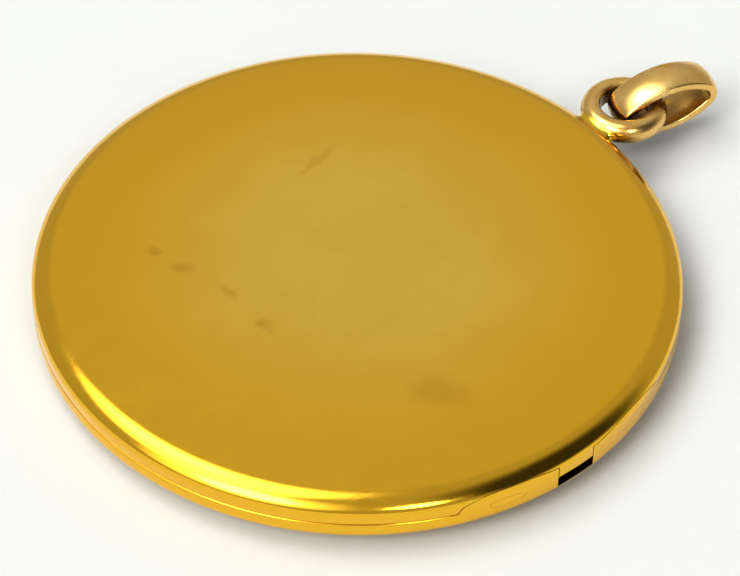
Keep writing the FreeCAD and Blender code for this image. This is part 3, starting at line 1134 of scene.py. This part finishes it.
@dataclass
class Eye:
    """The ring on the back cover's wall, and the solder that joins it there."""

    outline: Outline
    y: float = 18.7
    rise: float = 0.68
    ring_r: float = 1.68
    wire_r: float = 0.62
    hole_r: float = 1.28
    soft: float = 0.09
    solder_wide: float = 1.4
    solder_high: float = 0.49
    solder_start: float = 15.95
    solder_stop: float = 17.0
    fillet: float = 0.55
    sunk: float = 0.008
    solder_rows: int = 40
    solder_turns: int = 96
    reach_steps: int = 80
    ring_steps: int = 120
    wire_steps: int = 48

    def centre(self) -> Vector:
        """Centre of the ring."""
        return Vector((0.0, self.y, PARTING_Z + self.rise))

    def section(self) -> Section:
        """The wire's section: round outside, with a softly broken flat inside the hole."""
        flat = self.hole_r - self.ring_r
        points = []
        for x, z in arc((0.0, 0.0), self.wire_r, 0.0, 360.0, self.wire_steps)[:-1]:
            past = x - flat
            kept = flat + (past + math.hypot(past, self.soft)) / 2
            points.append((self.ring_r + min(kept, self.wire_r), z))
        return points

    def solder_distance(self, x: float, y: float, z: float) -> float:
        """Distance from the cover and the ring, blended as solder fills the corner between.

        Args:
            x: Distance sideways from the middle of the joint.
            y: Station along the joint.
            z: Height above the parting plane.

        Returns:
            The distance in millimetres, negative inside.
        """
        to_cover = self.outline.distance(math.hypot(x, y), z)
        to_wire = math.hypot(x, y - self.y) - self.ring_r
        to_ring = math.hypot(to_wire, z - self.rise) - self.wire_r
        share = max(self.fillet - abs(to_cover - to_ring), 0.0) / self.fillet
        return min(to_cover, to_ring) - share ** 2 * self.fillet / 4 + self.sunk

    def solder_reach(self, y: float, angle: float) -> float:
        """How far the solder reaches from the middle line of the joint, one way.

        Args:
            y: Station along the joint.
            angle: Direction across the joint, in radians from sideways.

        Returns:
            The distance in millimetres.
        """
        across, rise = math.cos(angle), math.sin(angle)
        limit = 1.0 / math.hypot(across / self.solder_wide, rise / self.solder_high)
        for step in range(1, self.reach_steps + 1):
            reach = limit * step / self.reach_steps
            if self.solder_distance(across * reach, y, self.rise + rise * reach) > 0:
                return max(reach - limit / self.reach_steps / 2, limit / self.reach_steps)
        return limit

    def solder(self) -> bpy.types.Object:
        """Build the solder: a smooth fillet that fills the corner between the wall and the ring.

        Returns:
            The solder, still to be settled in its body.
        """
        rows = []
        length = self.solder_stop - self.solder_start
        for step in range(self.solder_rows + 1):
            y = self.solder_start + length * step / self.solder_rows
            row = []
            for turn in range(self.solder_turns):
                angle = math.tau * turn / self.solder_turns
                reach = self.solder_reach(y, angle)
                row.append(Vector((math.cos(angle) * reach, y,
                                   PARTING_Z + self.rise + math.sin(angle) * reach)))
            rows.append(row)
        return as_piece("eye_saddle_solder", skin(rows, False, True))

    def build(self) -> None:
        """Build the ring and its solder."""
        axis = Axis(self.centre())
        ring = turned("eye_ring_wire", self.section(), axis, self.ring_steps)
        settle(ring, Half.BACK.body, "link_gold", LINK_GOLD.make(), "eye_ring")
        settle(self.solder(), Half.BACK.body, "solder_gold", SOLDER_GOLD.make(), "eye_saddle")


@dataclass
class Bail:
    """The oval link of half-round band that hangs through the eye."""

    long: float = 5.85
    high: float = 3.3
    thick: float = 0.58
    edge_thick: float = 0.42
    wide: float = 2.0
    end_r: float = 1.05
    reach: float = 0.6
    tilt: float = 5.0
    soft: float = 0.13
    side_steps: int = 40
    end_steps: int = 32

    def section(self) -> Section:
        """The band's section: across and outward, flat inside and crowned outside."""
        half = self.wide / 2
        rise = self.thick - self.edge_thick
        crown_r = (half ** 2 + rise ** 2) / (2 * rise)
        spread = math.degrees(math.asin(half / crown_r))
        crown = arc((0.0, self.thick - crown_r), crown_r, 90.0 - spread, 90.0 + spread, 10)
        corners = [(-half, 0.0, self.soft), (half, 0.0, self.soft)]
        last = len(crown) - 1
        for index, (across, out) in enumerate(crown):
            corners.append((across, out, self.soft * 0.8 if index in (0, last) else 0.0))
        return softened(corners)

    def oval(self) -> list[tuple[float, float, float]]:
        """The inside of the link as distance along, height and outward angle of each point."""
        end_r = self.end_r - self.thick
        half_long = self.long / 2 - self.thick
        half_high = self.high / 2 - self.thick
        end_x = half_long - end_r
        side_r = (end_x ** 2 + half_high ** 2 - end_r ** 2) / (2 * (half_high - end_r))
        side = math.degrees(math.asin(end_x / (side_r - end_r)))
        drop = side_r - half_high
        stretches = [
            ((end_x, 0.0), end_r, -(90.0 - side), 90.0 - side, self.end_steps),
            ((0.0, -drop), side_r, 90.0 - side, 90.0 + side, self.side_steps),
            ((-end_x, 0.0), end_r, 90.0 + side, 270.0 - side, self.end_steps),
            ((0.0, drop), side_r, 270.0 - side, 270.0 + side, self.side_steps),
        ]
        points = []
        for centre, radius, start, end, steps in stretches:
            for i in range(steps):
                angle = start + (end - start) * i / steps
                along, height = arc(centre, radius, angle, angle, 1)[0]
                points.append((along, height, math.radians(angle)))
        return points

    def build(self) -> bpy.types.Object:
        """Build the bail where it hangs in the CAD frame.

        Returns:
            The finished piece.
        """
        joint = joint_named("bail_swing")
        across = Vector(joint["axis"])
        tilt = Matrix.Rotation(math.radians(self.tilt), 3, across)
        up = tilt @ Vector((0.0, 0.0, 1.0))
        outward = up.cross(across)
        centre = Vector(joint["pos_m"]) / MM + outward * self.reach
        section = self.section()
        rows = []
        for along, height, angle in self.oval():
            start = centre + outward * along + up * height
            out = outward * math.cos(angle) + up * math.sin(angle)
            rows.append([start + across * a + out * b for a, b in section])
        link = as_piece("bail_link", skin(rows, True, False))
        return settle(link, "bail", "link_gold", LINK_GOLD.make(), "bail")


# ---------------------------------------------------------------------------------------------
# The studio


@dataclass(frozen=True)
class Glow:
    """A soft patch of the room: a window, a lamp or a dark corner.

    Azimuth is counted from the camera's right towards what lies beyond the locket, and the
    strength is added to the room's own light.
    """

    azimuth: float
    elevation: float
    inner: float
    outer: float
    strength: float

    def direction(self, camera_azimuth: float) -> Vector:
        """Direction of the middle of the patch in the locket's frame."""
        turn = math.radians(self.azimuth + camera_azimuth)
        rise = math.radians(self.elevation)
        return Vector((math.cos(turn) * math.cos(rise), math.sin(turn) * math.cos(rise),
                       math.sin(rise)))


@dataclass
class Studio:
    """Pale paper floor, soft light and the camera."""

    azimuth: float = 48.0
    elevation: float = 45.26
    roll: float = -1.187
    distance: float = 0.198
    lens: float = 189.5
    aim_right: float = 0.64
    aim_up: float = -0.362
    floor_half: float = 3.0
    room: float = 0.50
    glows: tuple[Glow, ...] = (
        Glow(90.0, 48.0, 4.0, 30.0, 0.14),
        Glow(172.0, 66.0, 12.0, 28.0, 4.6),
        Glow(-130.0, 40.0, 16.0, 32.0, 1.6),
        Glow(-128.0, 46.0, 9.0, 15.0, 13.0),
        Glow(-68.0, 42.0, 4.0, 8.0, 18.0),
        Glow(-20.0, 38.0, 16.0, 38.0, -0.46),
    )

    def floor(self) -> bpy.types.Object:
        """Build the paper floor just under the locket."""
        drop = Vector((0.0, 0.0, -0.02))
        size = self.floor_half / MM
        mesh = bmesh.new()
        corners = [(-size, -size), (size, -size), (size, size), (-size, size)]
        mesh.faces.new([mesh.verts.new(Vector((x, y, 0.0)) + drop) for x, y in corners])
        floor = as_piece("studio_floor", mesh)
        floor.data.materials.append(StudioPaper().make())
        return floor

    def camera(self) -> bpy.types.Object:
        """Place the camera, aimed a little beside the locket's middle."""
        turn = Matrix.Rotation(math.radians(self.azimuth), 3, "Z")
        rise = math.radians(self.elevation)
        forward = turn @ Vector((0.0, math.cos(rise), -math.sin(rise)))
        level = turn @ Vector((1.0, 0.0, 0.0))
        upright = level.cross(forward)
        roll = math.radians(self.roll)
        right = level * math.cos(roll) - upright * math.sin(roll)
        up = level * math.sin(roll) + upright * math.cos(roll)
        aim = (BODY_AXIS.origin + right * self.aim_right + up * self.aim_up) * MM
        data = bpy.data.cameras.new("camera")
        data.lens = self.lens
        data.sensor_width = 36.0
        data.clip_start = 0.01
        data.clip_end = 20.0
        camera = bpy.data.objects.new("camera", data)
        facing = Matrix((right, up, -forward)).transposed()
        camera.matrix_world = Matrix.Translation(aim - forward * self.distance) @ facing.to_4x4()
        bpy.context.scene.collection.objects.link(camera)
        bpy.context.scene.camera = camera
        return camera

    def room_light(self) -> None:
        """Light the scene with a soft room that has brighter and darker patches."""
        world = bpy.data.worlds.new("studio_room")
        bpy.context.scene.world = world
        world.use_nodes = True
        tree = world.node_tree
        tree.nodes.clear()
        output = add_node(tree, "ShaderNodeOutputWorld")
        direction = add_node(tree, "ShaderNodeTexCoord").outputs["Generated"]
        level = add_node(tree, "ShaderNodeValue")
        level.outputs["Value"].default_value = self.room
        total = level.outputs["Value"]
        for glow in self.glows:
            facing = add_node(tree, "ShaderNodeVectorMath", {
                0: direction, 1: glow.direction(self.azimuth)}, operation="DOT_PRODUCT")
            share = add_node(tree, "ShaderNodeMapRange", {
                "Value": facing.outputs["Value"],
                "From Min": math.cos(math.radians(glow.outer)),
                "From Max": math.cos(math.radians(glow.inner)),
                "To Max": glow.strength}, interpolation_type="SMOOTHSTEP")
            summed = add_node(tree, "ShaderNodeMath", {0: total, 1: share.outputs["Result"]},
                              operation="ADD")
            total = summed.outputs["Value"]
        lit = add_node(tree, "ShaderNodeMath", {0: total, 1: 0.02}, operation="MAXIMUM")
        background = add_node(tree, "ShaderNodeBackground", {
            "Color": linear("#fffdf6"), "Strength": lit.outputs["Value"]})
        tree.links.new(background.outputs["Background"], output.inputs["Surface"])

    def lamp(self, name: str, azimuth: float, elevation: float, distance: float,
             size: float, power: float) -> bpy.types.Object:
        """Hang a square soft lamp that faces the locket.

        Args:
            name: Name of the lamp.
            azimuth: Direction from the camera's right, in degrees.
            elevation: Height above the floor, in degrees.
            distance: Distance from the locket, in metres.
            size: Side of the lamp, in metres.
            power: Power in watts.

        Returns:
            The lamp.
        """
        toward = Glow(azimuth, elevation, 0.0, 0.0, 0.0).direction(self.azimuth)
        data = bpy.data.lights.new(name, "AREA")
        data.size = size
        data.energy = power
        lamp = bpy.data.objects.new(name, data)
        lamp.location = toward * distance
        lamp.rotation_euler = toward.to_track_quat("Z", "Y").to_euler()
        bpy.context.scene.collection.objects.link(lamp)
        return lamp

    def build(self) -> None:
        """Build the floor, the lights and the camera."""
        self.floor()
        self.camera()
        self.room_light()
        self.lamp("overhead_lamp", 160.0, 64.0, 0.6, 0.2, 0.42)
        bpy.context.scene.view_settings.view_transform = "Standard"
        log.info("studio: floor, camera and lights")


def main() -> None:
    """Build the locket piece by piece, then the studio."""
    logging.basicConfig(level=logging.INFO, format="%(name)s: %(message)s")
    outline = Outline()
    hinge = HingeSizes()
    Cover(Half.BACK, COVER_GOLD, outline, hinge).build()
    Cover(Half.FRONT, FRONT_GOLD, outline, hinge).build()
    Hinge(hinge, outline).build()
    ClosingRim().build()
    for half in Half:
        PictureFitting(half).build()
    Eye(outline).build()
    Bail().build()
    Studio().build()


if __name__ == "__main__":
    main()
